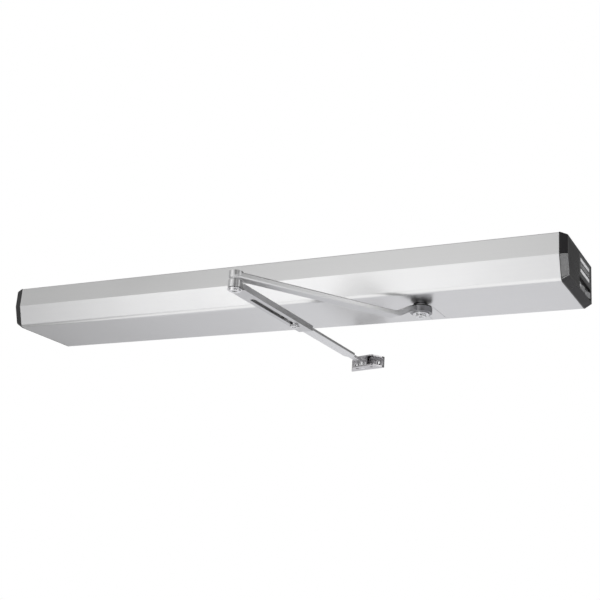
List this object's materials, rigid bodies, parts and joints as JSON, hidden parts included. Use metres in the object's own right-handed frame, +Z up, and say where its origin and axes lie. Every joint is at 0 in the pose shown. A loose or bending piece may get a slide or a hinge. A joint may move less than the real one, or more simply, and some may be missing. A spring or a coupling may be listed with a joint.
{
  "type": "low energy door operator",
  "caption": "Full-length surface swing door operator: extruded housing with end caps, spring closer and gear train inside, double-lever arm below.",
  "frame": {"origin": "centre of the wall face, on the back of the back plate", "axes": "+X along the housing to the end with the switches, +Y to the wall, +Z up; the arm hangs below"},
  "size_m": [1.0148, 0.4676, 0.122],
  "materials": {
    "anodised": "satin anodised extrusion",
    "arm_metal": "satin silver",
    "black_plastic": "fine texture",
    "board": "solder mask",
    "cast": "as-cast",
    "chrome": "bright",
    "copper": "enamelled",
    "glass": "clear",
    "green_plastic": "matte",
    "grey_plastic": "matte",
    "hardened": "ground steel",
    "label": "smooth",
    "magnet": "sintered",
    "rubber": "matte",
    "steel": "zinc plated"
  },
  "bodies": {
    "operator": {"cover": "anodised", "slot_insert": "anodised", "back_plate": "steel", "cable_grommet": "rubber", "end_bracket_left": "steel", "end_bracket_right": "steel", "end_cap_left": "black_plastic", "end_cap_right": "black_plastic", "label_plate": "label", "cap_screws": "steel", "program_switch": "black_plastic", "power_switch": "black_plastic", "closer_body": "cast", "closer_spacers": "cast", "closer_mounting_bolts": "steel", "spindle_bearings": "steel", "intermediate_axle": "steel", "motor_can": "steel", "motor_stator": "copper", "motor_end_bell": "steel", "gear_case": "cast", "gear_case_lid": "steel", "gear_case_screws": "steel", "encoder_board": "board", "closing_spring": "hardened", "spring_adjuster": "hardened", "end_plug": "hardened", "control_tray": "grey_plastic", "control_board": "board", "board_components": "grey_plastic", "heat_sink": "cast", "terminal_blocks": "green_plastic", "control_cover": "grey_plastic", "power_supply_tray": "steel", "power_supply_board": "board", "transformer": "copper", "power_supply_cover": "steel", "mains_terminal_block": "grey_plastic", "fuse_holder": "black_plastic", "fuse": "glass"},
    "spindle": {"spindle": "hardened", "spindle_gear": "hardened", "gear_retaining_ring": "steel", "main_arm": "arm_metal", "hub_washer": "chrome", "hub_screw": "chrome", "elbow_screw": "chrome"},
    "intermediate": {"intermediate_gear": "hardened"},
    "rotor": {"motor_rotor": "magnet", "motor_pinion_shaft": "hardened"},
    "piston": {"rack_piston": "hardened"},
    "forearm": {"forearm_channel": "arm_metal"},
    "extension": {"forearm_bar": "arm_metal", "clamp_screw": "chrome", "clamp_nut": "chrome"},
    "shoe": {"shoe": "chrome", "shoe_pin": "chrome"},
    "program_rocker": {"program_rocker": "grey_plastic"},
    "power_rocker": {"power_rocker": "grey_plastic"}
  },
  "joints": [
    {"name": "spindle_turn", "type": "hinge", "parent": "operator", "child": "spindle", "pos_m": [0.265, -0.084, 0], "axis": [0, 0, 1], "range_deg": [-115, 0], "stiffness_Nm_per_rad": 12, "springref_deg": 45.84},
    {"name": "intermediate_spin", "type": "hinge", "parent": "operator", "child": "intermediate", "pos_m": [0.21953, -0.05775, 0], "axis": [0, 0, 1], "range_deg": [-1, 691]},
    {"name": "motor_spin", "type": "hinge", "parent": "operator", "child": "rotor", "pos_m": [0.20774, -0.03126, 0], "axis": [0, 0, 1], "range_deg": [-3313, 1]},
    {"name": "piston_slide", "type": "slide", "parent": "operator", "child": "piston", "axis": [1, 0, 0], "range_m": [-0.0202, 0.0001], "deforming": ["closing_spring"]},
    {"name": "elbow_turn", "type": "hinge", "parent": "spindle", "child": "forearm", "pos_m": [0.09259, -0.35358, 0], "axis": [0, 0, 1], "range_deg": [-30, 140]},
    {"name": "forearm_slide", "type": "slide", "parent": "forearm", "child": "extension", "axis": [0.0017, 1, 0], "range_m": [-0.12, 0.007]},
    {"name": "shoe_turn", "type": "hinge", "parent": "extension", "child": "shoe", "pos_m": [0.09336, 0.08492, 0], "axis": [0, 0, 1], "range_deg": [-55, 80]},
    {"name": "program_rock", "type": "hinge", "parent": "operator", "child": "program_rocker", "pos_m": [0.5026, -0.058, -0.0197], "axis": [0, 0, 1], "range_deg": [-7, 7]},
    {"name": "power_rock", "type": "hinge", "parent": "operator", "child": "power_rocker", "pos_m": [0.5026, -0.0238, -0.0197], "axis": [0, 0, 1], "range_deg": [0, 14]}
  ],
  "couplings": [
    {"joint": "intermediate_spin", "follows": "spindle_turn", "ratio": -6},
    {"joint": "motor_spin", "follows": "spindle_turn", "ratio": 28.8},
    {"joint": "piston_slide", "follows": "spindle_turn", "m_per_rad": 0.01}
  ]
}
